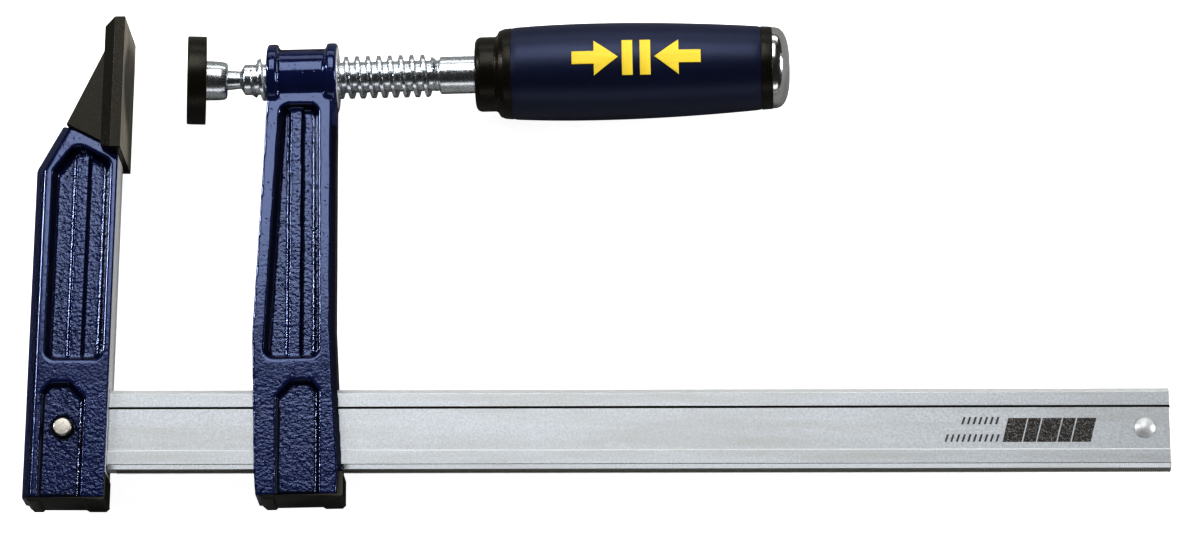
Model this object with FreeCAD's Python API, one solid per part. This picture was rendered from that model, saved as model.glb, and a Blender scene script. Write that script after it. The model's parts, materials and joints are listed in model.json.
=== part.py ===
import FreeCAD, Part
import math
import os

# F clamp with a 300 mm opening and a 120 mm throat, lying on its side. Millimetres.
# Origin: on the fixed jaw's clamping face, one nominal throat above the bar's edge.
# +X runs along the bar away from the fixed jaw, +Y from the bar towards the jaws,
# +Z out of the clamp's own plane. The plane z = 0 is the clamp's middle plane.

V = FreeCAD.Vector
X_AXIS = V(1, 0, 0)
Y_AXIS = V(0, 1, 0)
Z_AXIS = V(0, 0, 1)

# ---- driving dimensions ----
THROAT = 120.0          # nominal throat: the origin's height over the bar's upper edge
AXIS_DROP = 0.45        # the spindle's axis lies this far under that height
BAR_HEIGHT = 30.0
BAR_THICK = 8.0
BAR_END = 376.7         # free end of the bar
BAR_CHAMFER = 1.9
WEB_HEIGHT = 15.2       # recessed middle band of the bar, on both faces
WEB_DEPTH = 0.6
TOOTH_PITCH = 0.75      # serration under the bar
TOOTH_DEPTH = 0.35

ARM_DEPTH = 15.5        # thickness of both arms across the clamp
ARM_WIDTH = 29.7        # fixed arm, along the bar
ARM_INNER = -1.7        # x of the fixed arm's inner side
ARM_BOTTOM = -161.0     # y of the fixed arm's lower end
SLIDE_BOTTOM = -160.4   # y of the sliding arm's lower end
POCKET_DEPTH = 3.75     # cast panels in the arms
LOWER_POCKET_DEPTH = 1.6
RIB_HEIGHT = 1.3
ARM_LEAN = 27.5         # lean of the fixed arm's upper back, degrees from upright

JAW_TOP = 18.8          # fixed jaw plate, above and below the spindle axis
JAW_BOTTOM = -31.6
JAW_HALF_WIDTH = 15.2
JAW_SIDE = 3.7          # thickness of the plate's straight edge
JAW_BEVEL = 4.0
JAW_TOP_BEVEL = 2.4
JAW_LOW_BEVEL = 1.9
WEDGE_HALF = 10.0       # half thickness of the cap over the arm's tongue

SLIDE_LEFT = 54.7       # sliding arm while it is square to the bar
SLIDE_RIGHT = 80.2
SLIDE_FOOT_BACK = 52.0  # the two sides of its lower end, where the foot fits
SLIDE_FOOT_INNER = 82.9
BARREL_R = 10.8
FLANGE_R = 12.8
FLANGE_WIDTH = 3.95
MORTISE_TOP_GAP = 0.9   # play over and under the bar, so that the arm can rock
MORTISE_LOW_GAP = 0.6
MORTISE_SIDE_GAP = 0.3
COCK = 1.14             # lean of the loose sliding arm, degrees

PIN_R = 2.0             # brake pin under the bar
PIN_X = 55.0
PIN_HALF_LENGTH = 5.5

THREAD_MAJOR_R = 7.8    # trapezoidal thread, right hand
THREAD_ROOT_R = 5.6
THREAD_PITCH = 4.0
THREAD_START = 46.0     # the plain root; the ridge starts a pitch later
THREAD_END = 116.4
SHANK_R = 6.85
NECK_R = 3.2
BALL_R = 5.0
BALL_X = 34.1           # centre of the spindle's ball
NUT_THREAD_GAP = 0.25   # radial and axial play in the sliding arm's thread

PAD_R = 16.15
PAD_THICK = 6.9
PAD_TO_BALL = 9.35      # clamping face of the pad to the ball's centre
PAD_REST_TILT = 7.3     # the loose pad's lean about Y, degrees
CUP_R = 7.1
CUP_END = 15.1
SEAT_THICK = 0.8

HANDLE_START = 130.7    # front collar, grip, rear ring and end cap, along the spindle
GRIP_START = 144.1
GRIP_END = 235.1
RING_END = 239.2
HANDLE_END = 245.55
COLLAR_R = 13.66
SLEEVE_R = 12.0
TANG_R = 5.0
TANG_SHOULDER = 224.0
BOLT_R = 4.0

FIT = 0.05              # gap between pieces that are pressed or set into each other

BAR_TOP = -THROAT
BAR_LOW = BAR_TOP - BAR_HEIGHT
BAR_MID = BAR_TOP - BAR_HEIGHT / 2
ARM_BACK = ARM_INNER - ARM_WIDTH
BAR_START = ARM_BACK + 5.7
HALF_ARM = ARM_DEPTH / 2
PIN_CENTRE = V(PIN_X, BAR_LOW - PIN_R - FIT, 0)
PAD_FACE_X = BALL_X - PAD_TO_BALL


# ---- small geometry helpers ----
def polygon(points, z=0.0):
    corners = [V(x, y, z) for x, y in points]
    return Part.makePolygon(corners + corners[:1])


def slab(points, low, high):
    return Part.Face(polygon(points, low)).extrude(V(0, 0, high - low))


def box(low, high):
    size = [b - a for a, b in zip(low, high)]
    return Part.makeBox(*size, V(*low))


def rod(radius, start, length, axis):
    return Part.makeCylinder(radius, length, start, axis)


def rounded_wire(points, radius, z):
    """Closed outline with every corner rounded by the same radius."""
    corners = [V(x, y, z) for x, y in points]
    count = len(corners)
    ends = []
    for i, corner in enumerate(corners):
        before = (corners[i - 1] - corner).normalize()
        after = (corners[(i + 1) % count] - corner).normalize()
        half = before.getAngle(after) / 2
        reach = radius / math.tan(half)
        middle = (before + after).normalize()
        centre = corner + middle * (radius / math.sin(half))
        ends.append((corner + before * reach, centre - middle * radius, corner + after * reach))
    edges = []
    for i, (start, through, end) in enumerate(ends):
        edges.append(Part.Arc(start, through, end).toShape())
        edges.append(Part.LineSegment(end, ends[(i + 1) % count][0]).toShape())
    return Part.Wire(edges)


def inset(points, amount):
    """Outline moved inwards by amount; points run anticlockwise."""
    count = len(points)
    lines = []
    for i in range(count):
        (x0, y0), (x1, y1) = points[i], points[(i + 1) % count]
        length = math.hypot(x1 - x0, y1 - y0)
        nx, ny = -(y1 - y0) / length, (x1 - x0) / length
        lines.append((x0 + nx * amount, y0 + ny * amount, x1 - x0, y1 - y0))
    moved = []
    for i in range(count):
        ax, ay, adx, ady = lines[i - 1]
        bx, by, bdx, bdy = lines[i]
        along = ((bx - ax) * bdy - (by - ay) * bdx) / (adx * bdy - ady * bdx)
        moved.append((ax + along * adx, ay + along * ady))
    return moved


def both_faces(shape):
    """The shape and its mirror image behind the middle plane."""
    return [shape, shape.mirror(V(0, 0, 0), Z_AXIS)]


def pocket(points, radius, depth, draft):
    """Cutter for a cast panel with sloping walls, sunk into the arm's front face."""
    lift = 1.0
    slope = draft / depth
    top = rounded_wire(inset(points, -lift * slope), radius + lift * slope, HALF_ARM + lift)
    floor = rounded_wire(inset(points, draft), radius - draft, HALF_ARM - depth)
    return Part.makeLoft([floor, top], True, True)


def edge_bevel(start, end, across, down):
    """Cutter for a bevel along an edge of the front face; the solid lies left of the edge."""
    a, b = V(start[0], start[1], 0), V(end[0], end[1], 0)
    along = (b - a).normalize()
    outward = V(along.y, -along.x, 0)
    spare = 2.0
    corners = [
        a - outward * across + V(0, 0, HALF_ARM),
        a + outward * spare + V(0, 0, HALF_ARM - down - spare * down / across),
        a + outward * spare + V(0, 0, HALF_ARM + spare),
        a - outward * across + V(0, 0, HALF_ARM + spare),
    ]
    corners = [corner - along * spare for corner in corners]
    face = Part.Face(Part.makePolygon(corners + corners[:1]))
    return face.extrude(along * ((b - a).Length + 2 * spare))


def turned(profile):
    """Solid of revolution about the X axis from (x, radius) points."""
    corners = [V(x, r, 0) for x, r in profile]
    face = Part.Face(Part.makePolygon(corners + corners[:1]))
    return face.revolve(V(0, 0, 0), X_AXIS, 360)


def round_end(cylinder_like, radius, x):
    """Fillets the circular edges that lie at the given x."""
    edges = [e for e in cylinder_like.Edges
             if abs(e.BoundBox.XMin - x) < 1e-6 and abs(e.BoundBox.XMax - x) < 1e-6]
    return cylinder_like.makeFillet(radius, edges)


def rest_pose(shape):
    """Moves a piece of the sliding assembly from square to its loose, leaning rest."""
    moved = shape.copy()
    moved.rotate(PIN_CENTRE, Z_AXIS, COCK)
    return moved


def on_axis(shape):
    """Moves a piece built about the X axis to the spindle's axis, in its rest pose."""
    moved = shape.copy()
    moved.translate(V(0, -AXIS_DROP, 0))
    return rest_pose(moved)


def pad_pose(shape):
    """Leans the pad on its ball, then places it with the spindle."""
    leaned = shape.copy()
    leaned.rotate(V(BALL_X, 0, 0), Y_AXIS, PAD_REST_TILT)
    return on_axis(leaned)


# ---- bar ----
def serration(start, end):
    """Saw-tooth cutter along the bar's lower edge."""
    count = int((end - start) / TOOTH_PITCH)
    points = [(start, BAR_LOW - 1.0)]
    for i in range(count):
        x = start + i * TOOTH_PITCH
        points.append((x, BAR_LOW))
        points.append((x + TOOTH_PITCH / 2, BAR_LOW + TOOTH_DEPTH))
    points.append((start + count * TOOTH_PITCH, BAR_LOW))
    points.append((start + count * TOOTH_PITCH, BAR_LOW - 1.0))
    return slab(points, -BAR_THICK, BAR_THICK)


def bar_section():
    half_height, half_thick, c = BAR_HEIGHT / 2, BAR_THICK / 2, BAR_CHAMFER
    web, step = WEB_HEIGHT / 2, WEB_DEPTH
    quarter = [(half_height, half_thick - c), (half_height - c, half_thick),
               (web + step, half_thick), (web, half_thick - step)]
    front = quarter + [(-y, z) for y, z in reversed(quarter)]
    back = [(y, -z) for y, z in reversed(front)]
    return [V(BAR_START, BAR_MID + y, z) for y, z in front + back]


STOP_X = BAR_END - 9.0
STOP_HEAD_R = 3.9
STOP_SHANK_R = 2.5
ARM_RIVET_X = ARM_INNER - 15.9
ARM_RIVET_R = 3.35


def make_bar():
    corners = bar_section()
    solid = Part.Face(Part.makePolygon(corners + corners[:1])).extrude(V(BAR_END - BAR_START, 0, 0))
    solid = solid.cut(serration(ARM_INNER + 2.0, BAR_END - 1.5))
    for x, radius in ((STOP_X, STOP_SHANK_R), (ARM_RIVET_X, ARM_RIVET_R)):
        solid = solid.cut(rod(radius + FIT, V(x, BAR_MID, -BAR_THICK), 2 * BAR_THICK, Z_AXIS))
    return solid


def make_stop_rivet():
    """Short shank with a low domed head formed on each face of the bar's web."""
    web_face = BAR_THICK / 2 - WEB_DEPTH
    dome_height = 1.5
    dome_r = (STOP_HEAD_R ** 2 + dome_height ** 2) / (2 * dome_height)
    dome = Part.makeSphere(dome_r, V(STOP_X, BAR_MID, web_face + dome_height - dome_r))
    head = dome.common(rod(STOP_HEAD_R, V(STOP_X, BAR_MID, web_face), 2 * dome_height, Z_AXIS))
    shank = rod(STOP_SHANK_R, V(STOP_X, BAR_MID, -web_face), 2 * web_face, Z_AXIS)
    return shank.multiFuse(both_faces(head)).removeSplitter()


# ---- fixed arm ----
LEAN_X = math.sin(math.radians(ARM_LEAN))
LEAN_Y = math.cos(math.radians(ARM_LEAN))
BACK_CORNER = (ARM_BACK, -37.3)
SHOULDER = (BACK_CORNER[0] + 19.5 * LEAN_X, BACK_CORNER[1] + 19.5 * LEAN_Y)
WEDGE_FOOT = (-20.6, -21.1)
WEDGE_HEAD = (-8.4, 6.0)
TONGUE_WALL = 2.2
TONGUE_FRONT = -4.2
TONGUE_TOP = 2.0


def shoulder_y(x):
    """Height of the arm's shoulder, square to its leaning back, where the jaw cap sits."""
    return SHOULDER[1] - (x - SHOULDER[0]) * LEAN_X / LEAN_Y


def wedge_back(y, wall):
    """x of the jaw cap's leaning back at height y, moved inwards by wall."""
    slope = (WEDGE_HEAD[0] - WEDGE_FOOT[0]) / (WEDGE_HEAD[1] - WEDGE_FOOT[1])
    return WEDGE_FOOT[0] + slope * (y - WEDGE_FOOT[1]) + wall * math.hypot(1, slope)


def tongue_outline(gap):
    base = wedge_back(WEDGE_FOOT[1] - 1.0, TONGUE_WALL) - gap
    front = TONGUE_FRONT + gap
    top = TONGUE_TOP + gap
    return [(base, shoulder_y(base) - 1.0), (front, shoulder_y(front) - 1.0), (front, top),
            (wedge_back(top, TONGUE_WALL) - gap, top)]


def arm_panel_cuts(upper, lower, rib):
    """Cutters for the two cast panels on each face, and the ribs that stay in the upper one."""
    cuts = both_faces(pocket(upper, 4.0, POCKET_DEPTH, 2.0))
    cuts += both_faces(pocket(lower, 1.6, LOWER_POCKET_DEPTH, 0.8))
    floor = HALF_ARM - POCKET_DEPTH
    ribs = both_faces(slab(rib, floor - 0.5, floor + RIB_HEIGHT))
    return cuts, ribs


def make_fixed_arm():
    body = [
        (ARM_BACK, ARM_BOTTOM), (ARM_INNER, ARM_BOTTOM), (ARM_INNER, JAW_BOTTOM),
        (TONGUE_FRONT, JAW_BOTTOM), (TONGUE_FRONT, shoulder_y(TONGUE_FRONT)),
        SHOULDER, BACK_CORNER,
    ]
    arm = slab(body, -HALF_ARM, HALF_ARM).fuse(slab(tongue_outline(0.0), -HALF_ARM, HALF_ARM))
    upper = [(-25.4, -110.2), (-4.2, -110.2), (-4.2, -34.2), (-17.2, -27.4), (-25.4, -38.4)]
    lower = [(-25.9, -170.0), (-10.1, -170.0), (-10.1, -124.0), (-15.4, -118.4), (-22.6, -118.4),
             (-25.9, -122.4)]
    rib = [(-16.8, -112.0), (-12.2, -112.0), (-12.2, -32.0), (-16.8, -32.0)]
    cuts, ribs = arm_panel_cuts(upper, lower, rib)
    inside = slab(inset(upper, 1.0), -HALF_ARM, HALF_ARM)
    cuts += both_faces(edge_bevel(BACK_CORNER, (ARM_BACK, ARM_BOTTOM), 3.4, 3.0))
    cuts += both_faces(edge_bevel(SHOULDER, BACK_CORNER, 3.4, 3.0))
    cuts.append(box((BAR_START - FIT, BAR_LOW - FIT, -BAR_THICK / 2 - FIT),
                    (ARM_INNER + 5, BAR_TOP + FIT, BAR_THICK / 2 + FIT)))
    cuts.append(rod(ARM_RIVET_R + FIT, V(ARM_RIVET_X, BAR_MID, -20), 40, Z_AXIS))
    cuts += foot_pegs(ARM_BACK, ARM_BOTTOM, FIT)
    cuts.append(lip_recess(ARM_INNER, ARM_BOTTOM))
    arm = arm.cut(cuts)
    arm = arm.fuse([each.common(inside) for each in ribs])
    return arm.removeSplitter()


def make_arm_rivet():
    """Straight pin pressed through the arm and the bar, with eased ends."""
    end = HALF_ARM - LOWER_POCKET_DEPTH + 1.9
    pin = rod(ARM_RIVET_R, V(ARM_RIVET_X, BAR_MID, -end), 2 * end, Z_AXIS)
    rims = [e for e in pin.Edges if e.BoundBox.ZLength < 1e-6]
    return pin.makeChamfer(0.35, rims)


def make_jaw_cap():
    """Plastic jaw: a bevelled plate with a hollow wedge that grips the arm's tongue."""
    back = -JAW_SIDE - JAW_BEVEL
    plate = box((-JAW_SIDE, JAW_BOTTOM, -JAW_HALF_WIDTH), (0, JAW_TOP, JAW_HALF_WIDTH))
    wires = []
    for x, side, top, low in ((-JAW_SIDE, 0.0, 0.0, 0.0), (back, JAW_BEVEL, JAW_TOP_BEVEL, JAW_LOW_BEVEL)):
        wide = JAW_HALF_WIDTH - side
        corners = [V(x, JAW_BOTTOM + low, -wide), V(x, JAW_BOTTOM + low, wide),
                   V(x, JAW_TOP - top, wide), V(x, JAW_TOP - top, -wide)]
        wires.append(Part.makePolygon(corners + corners[:1]))
    bevel = Part.makeLoft(wires, True, True)
    wedge = [WEDGE_FOOT, (WEDGE_FOOT[0] + 1.0, shoulder_y(WEDGE_FOOT[0] + 1.0) + FIT),
             (back + 1.0, shoulder_y(back + 1.0) + FIT), (back + 1.0, wedge_top(back + 1.0)), WEDGE_HEAD]
    cap = plate.fuse([bevel, slab(wedge, -WEDGE_HALF, WEDGE_HALF)])
    cavity = slab(tongue_outline(FIT), -HALF_ARM - FIT, HALF_ARM + FIT)
    arm_below = slab([(ARM_BACK, JAW_BOTTOM - 10), (ARM_INNER + FIT, JAW_BOTTOM - 10),
                      (ARM_INNER + FIT, JAW_BOTTOM), (TONGUE_FRONT + FIT, JAW_BOTTOM),
                      (TONGUE_FRONT + FIT, shoulder_y(TONGUE_FRONT) + FIT),
                      (ARM_BACK, shoulder_y(ARM_BACK) + FIT)], -HALF_ARM - FIT, HALF_ARM + FIT)
    return cap.cut([cavity, arm_below]).removeSplitter()


def wedge_top(x):
    slope = (WEDGE_HEAD[1] - WEDGE_FOOT[1]) / (WEDGE_HEAD[0] - WEDGE_FOOT[0])
    return WEDGE_HEAD[1] + slope * (x - WEDGE_HEAD[0])


# ---- feet, one under each arm ----
PEG_R = 2.4
PEG_LENGTH = 6.5
FOOT_HALF = 7.6
FOOT_WEB = 0.8          # thickness between its two pads
FOOT_HEIGHT = 1.5
LIP_TOP = -152.1        # the lip lies in a recess in the arm's inner side
LIP_HALF = 6.9
LIP_DEPTH = 2.0
LIP_PROUD = 0.25


def foot_pegs(back, bottom, gap):
    pegs = []
    for offset in (8.5, 21.5):
        start = V(back + offset, bottom - FOOT_WEB / 2, 0)
        pegs.append(rod(PEG_R + gap, start, PEG_LENGTH + gap, Y_AXIS))
    return pegs


def lip_recess(inner, bottom):
    """Cutter for the recess in which a foot's lip lies."""
    return box((inner - LIP_DEPTH - FIT, bottom - 1.0, -LIP_HALF - FIT),
               (inner + 5.0, LIP_TOP + FIT, LIP_HALF + FIT))


def make_foot(back, inner, bottom):
    """Plastic foot: pegged under the arm, with two pads below and a lip up its inner side."""
    top = bottom - FIT
    web = bottom - FOOT_WEB
    low = bottom - FOOT_HEIGHT
    sole = [
        (back + 1.4, top), (back + 3.0, low), (back + 6.2, low), (back + 6.8, web),
        (inner - 8.0, web), (inner - 6.8, low), (inner - 0.9, low), (inner + LIP_PROUD, low + 1.1),
        (inner + LIP_PROUD, top),
    ]
    lip = [(inner - LIP_DEPTH, top - 0.4), (inner + LIP_PROUD, top - 0.4), (inner + LIP_PROUD, LIP_TOP),
           (inner - LIP_DEPTH, LIP_TOP)]
    foot = slab(sole, -FOOT_HALF, FOOT_HALF)
    return foot.fuse([slab(lip, -LIP_HALF, LIP_HALF)] + foot_pegs(back, bottom, 0.0)).removeSplitter()


# ---- thread ----
def thread_ridge(start, end, root, crest, root_width, crest_width):
    """Right-hand helical ridge about the X axis; it overlaps the core below the root."""
    turns_length = end - start
    helix = Part.makeHelix(THREAD_PITCH, turns_length, root)
    sunk = 0.4
    flare = (root_width - crest_width) / 2 / (crest - root) * sunk
    profile = [V(root - sunk, 0, -root_width / 2 - flare), V(crest, 0, -crest_width / 2),
               V(crest, 0, crest_width / 2), V(root - sunk, 0, root_width / 2 + flare)]
    pipe = Part.BRepOffsetAPI.MakePipeShell(Part.Wire(helix))
    pipe.setFrenetMode(True)
    pipe.add(Part.makePolygon(profile + profile[:1]))
    pipe.build()
    pipe.makeSolid()
    ridge = pipe.shape()
    ridge.rotate(V(0, 0, 0), Y_AXIS, 90)
    ridge.translate(V(start, 0, 0))
    return ridge


CREST_WIDTH = 1.25
ROOT_WIDTH = 2.35


# ---- sliding arm ----
def make_sliding_arm():
    blade = [
        (SLIDE_LEFT + 0.3, -4.0), (SLIDE_LEFT + 0.1, -12.0), (50.3, -100.0), (51.3, -151.0),
        (SLIDE_FOOT_BACK, SLIDE_BOTTOM), (82.4, SLIDE_BOTTOM), (82.9, -154.0), (80.9, -118.6),
        (79.9, -97.0), (79.9, -4.0),
    ]
    arm = slab(blade, -HALF_ARM, HALF_ARM)
    barrel = rod(BARREL_R, V(SLIDE_LEFT, -AXIS_DROP, 0), SLIDE_RIGHT - SLIDE_LEFT, X_AXIS)
    flanges = []
    for x in (SLIDE_LEFT, SLIDE_RIGHT - FLANGE_WIDTH):
        ring = rod(FLANGE_R, V(x, -AXIS_DROP, 0), FLANGE_WIDTH, X_AXIS)
        ring = round_end(ring, 0.8, x)
        flanges.append(round_end(ring, 0.8, x + FLANGE_WIDTH))
    upper = [(54.15, -110.1), (74.5, -110.1), (73.9, -12.8), (59.3, -12.8)]
    lower = [(58.8, -170.0), (74.6, -170.0), (74.6, -122.0), (71.6, -118.0), (64.4, -118.0),
             (58.8, -124.0)]
    rib = [(63.2, -112.0), (67.6, -112.0), (67.6, -10.0), (63.2, -10.0)]
    cuts, ribs = arm_panel_cuts(upper, lower, rib)
    inside = slab(inset(upper, 1.0), -HALF_ARM, HALF_ARM)
    for start, end in (((82.9, -154.0), (80.9, -118.6)), ((80.9, -118.6), (79.9, -97.0)),
                       ((79.9, -97.0), (79.9, -4.0)), ((82.4, SLIDE_BOTTOM), (82.9, -154.0))):
        cuts += both_faces(edge_bevel(start, end, 1.8, 3.0))
    arm = arm.cut(cuts)
    arm = arm.fuse([each.common(inside) for each in ribs])
    arm = arm.fuse([barrel] + flanges)
    half_slot = BAR_THICK / 2 + MORTISE_SIDE_GAP
    holes = [
        box((40, BAR_LOW - MORTISE_LOW_GAP, -half_slot), (95, BAR_TOP + MORTISE_TOP_GAP, half_slot)),
        rod(PIN_R + FIT, PIN_CENTRE - Z_AXIS * (PIN_HALF_LENGTH + FIT), 2 * (PIN_HALF_LENGTH + FIT),
            Z_AXIS),
        rod(THREAD_ROOT_R + NUT_THREAD_GAP, V(40, -AXIS_DROP, 0), 60, X_AXIS),
        lip_recess(SLIDE_FOOT_INNER, SLIDE_BOTTOM),
    ]
    holes += foot_pegs(SLIDE_FOOT_BACK, SLIDE_BOTTOM, FIT)
    arm = arm.cut(holes)
    groove = thread_ridge(THREAD_START, THREAD_START + 44.0, THREAD_ROOT_R, THREAD_MAJOR_R + NUT_THREAD_GAP,
                          ROOT_WIDTH + 2 * NUT_THREAD_GAP, CREST_WIDTH + 2 * NUT_THREAD_GAP)
    groove.translate(V(0, -AXIS_DROP, 0))
    return arm.cut(groove).removeSplitter()


def make_brake_pin():
    return rod(PIN_R, PIN_CENTRE - Z_AXIS * PIN_HALF_LENGTH, 2 * PIN_HALF_LENGTH, Z_AXIS)


# ---- spindle ----
def make_spindle():
    """Ball, neck, thread, plain shank, flatted tang and a plain end for the nut."""
    profile = [
        (BALL_X + 2.0, 0), (BALL_X + 2.0, NECK_R), (44.6, NECK_R), (THREAD_START, THREAD_ROOT_R),
        (THREAD_END, THREAD_ROOT_R), (THREAD_END + 0.6, SHANK_R), (HANDLE_START, SHANK_R),
        (HANDLE_START, TANG_R), (TANG_SHOULDER, TANG_R), (TANG_SHOULDER, BOLT_R),
        (GRIP_END - 1.4, BOLT_R), (GRIP_END - 0.7, BOLT_R - 0.7), (GRIP_END - 0.7, 0),
    ]
    core = turned(profile).fuse(Part.makeSphere(BALL_R, V(BALL_X, 0, 0)))
    flat = TANG_R - 1.0
    for low, high in ((flat, flat + 5), (-flat - 5, -flat)):
        core = core.cut(box((HANDLE_START + 4, -10, low), (TANG_SHOULDER + 0.001, 10, high)))
    ridge_start = THREAD_START + THREAD_PITCH
    ridge = thread_ridge(ridge_start, THREAD_END - 1.0, THREAD_ROOT_R, THREAD_MAJOR_R, ROOT_WIDTH,
                         CREST_WIDTH)
    trim = turned([(ridge_start - 3.0, 0), (ridge_start - 3.0, 4.5), (ridge_start + 1.0, 8.6),
                   (THREAD_END + 2.0, 8.6), (THREAD_END + 2.0, 0)])
    return core.fuse(ridge.common(trim)).removeSplitter()


# ---- handle ----
GRIP_POINTS = ((GRIP_START, 16.8), (158.0, 17.45), (175.0, 17.8), (196.0, 17.4), (216.0, 16.6),
               (GRIP_END, 15.3))
MARK_HALF = 6.6
MARK_CENTRE = 189.8
MARK_TURN = 3.3         # the sign sits this many degrees round the grip from +Z


def grip_edge(offset=0.0):
    curve = Part.BSplineCurve()
    curve.interpolate([V(x, r + offset, 0) for x, r in GRIP_POINTS])
    return curve


def grip_solid(offset, inner):
    edge = grip_edge(offset).toShape()
    outline = [V(GRIP_END, GRIP_POINTS[-1][1] + offset, 0), V(GRIP_END, inner, 0),
               V(GRIP_START, inner, 0), V(GRIP_START, GRIP_POINTS[0][1] + offset, 0)]
    wire = Part.Wire([edge] + Part.makePolygon(outline).Edges)
    return Part.Face(wire).revolve(V(0, 0, 0), X_AXIS, 360)


def mark_shapes():
    """Generic pressing sign: two arrows that face a pair of upright bars."""
    shapes = []
    shaft = 2.4
    for side in (-1, 1):
        arrow = [(23.4, -shaft), (15.4, -shaft), (15.4, -MARK_HALF), (6.6, 0.0), (15.4, MARK_HALF),
                 (15.4, shaft), (23.4, shaft)]
        upright = [(5.2, -MARK_HALF), (5.2, MARK_HALF), (1.3, MARK_HALF), (1.3, -MARK_HALF)]
        for outline in (arrow, upright):
            shapes.append(slab([(MARK_CENTRE + side * x, y) for x, y in outline], 5.0, 30.0))
    for shape in shapes:
        shape.rotate(V(0, 0, 0), X_AXIS, MARK_TURN)
    return shapes


def make_handle():
    """Core, grip, raised marks, rear ring, end cap, washer and nut."""
    core = turned([
        (HANDLE_START, SHANK_R + 0.3), (HANDLE_START, COLLAR_R - 1.0), (HANDLE_START + 1.0, COLLAR_R),
        (137.9, COLLAR_R), (138.7, 14.3), (139.9, 15.8), (141.2, 16.4), (GRIP_START, 16.75),
        (GRIP_START, SLEEVE_R), (GRIP_END, SLEEVE_R), (GRIP_END, 9.6), (TANG_SHOULDER, 9.6),
        (TANG_SHOULDER, TANG_R + FIT), (HANDLE_START + 4, TANG_R + FIT), (HANDLE_START + 4, SHANK_R + 0.3),
    ])
    flat = TANG_R - 1.0 + FIT
    for low, high in ((flat, flat + 2.5), (-flat - 2.5, -flat)):
        key = box((HANDLE_START + 4.2, -5.4, low), (TANG_SHOULDER, 5.4, high))
        core = core.fuse(key.common(rod(TANG_R + 1.0, V(HANDLE_START, 0, 0), 110, X_AXIS)))
    grip = grip_solid(0.0, SLEEVE_R + FIT)
    grip = grip.cut(box((GRIP_START - 1, -20, -20), (GRIP_START + FIT, 20, 20)))
    raised = grip_solid(0.35, SLEEVE_R)
    seat = grip_solid(-0.8, SLEEVE_R)
    marks = [shape.common(raised).cut(seat) for shape in mark_shapes()]
    grip = grip.cut(marks)
    ring = turned([(GRIP_END + FIT, 9.8), (GRIP_END + FIT, 15.3), (RING_END - 0.4, 15.2), (RING_END, 14.9),
                   (RING_END, 13.3), (RING_END - 2.0, 13.3), (RING_END - 2.0, 9.8)])
    cap = make_end_cap()
    washer = rod(8.5, V(TANG_SHOULDER + FIT, 0, 0), 1.6, X_AXIS)
    washer = washer.cut(rod(BOLT_R + 0.2, V(TANG_SHOULDER - 1, 0, 0), 4, X_AXIS))
    across = 13.0
    corner_r = across / math.sqrt(3)
    nut_start = TANG_SHOULDER + FIT + 1.6 + FIT
    nut_end = nut_start + 6.5
    turns = [math.radians(60 * i) for i in range(6)]
    corners = [V(nut_start, corner_r * math.cos(a), corner_r * math.sin(a)) for a in turns]
    nut = Part.Face(Part.makePolygon(corners + corners[:1])).extrude(V(nut_end - nut_start, 0, 0))
    crown = turned([(nut_start, 0), (nut_start, 6.6), (nut_start + 0.6, corner_r),
                    (nut_end - 0.6, corner_r), (nut_end, 6.6), (nut_end, 0)])
    nut = nut.common(crown).cut(rod(BOLT_R + FIT, V(nut_start - 1, 0, 0), 10, X_AXIS))
    return {
        "handle_core": core,
        "handle_grip": grip,
        "handle_marks": Part.makeCompound(marks),
        "handle_rear_ring": ring,
        "handle_end_cap": cap,
        "tang_washer": washer,
        "tang_nut": nut,
    }


def make_end_cap():
    """Domed steel cap; its skirt is pressed into the rear ring."""
    start = RING_END + FIT
    outer = [V(start, 14.9, 0), V(241.8, 13.9, 0), V(244.0, 11.8, 0), V(245.1, 8.5, 0), V(HANDLE_END, 0, 0)]
    curve = Part.BSplineCurve()
    curve.interpolate(outer)
    wall = 1.2
    inner = [V(HANDLE_END - wall, 0, 0), V(243.8, 8.0, 0), V(242.6, 11.0, 0), V(start, 12.1, 0),
             V(RING_END - 1.9, 12.1, 0), V(RING_END - 1.9, 13.25, 0), V(start, 13.25, 0), outer[0]]
    wire = Part.Wire([curve.toShape()] + Part.makePolygon([outer[-1]] + inner).Edges)
    return Part.Face(wire).revolve(V(0, 0, 0), X_AXIS, 360)


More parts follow.
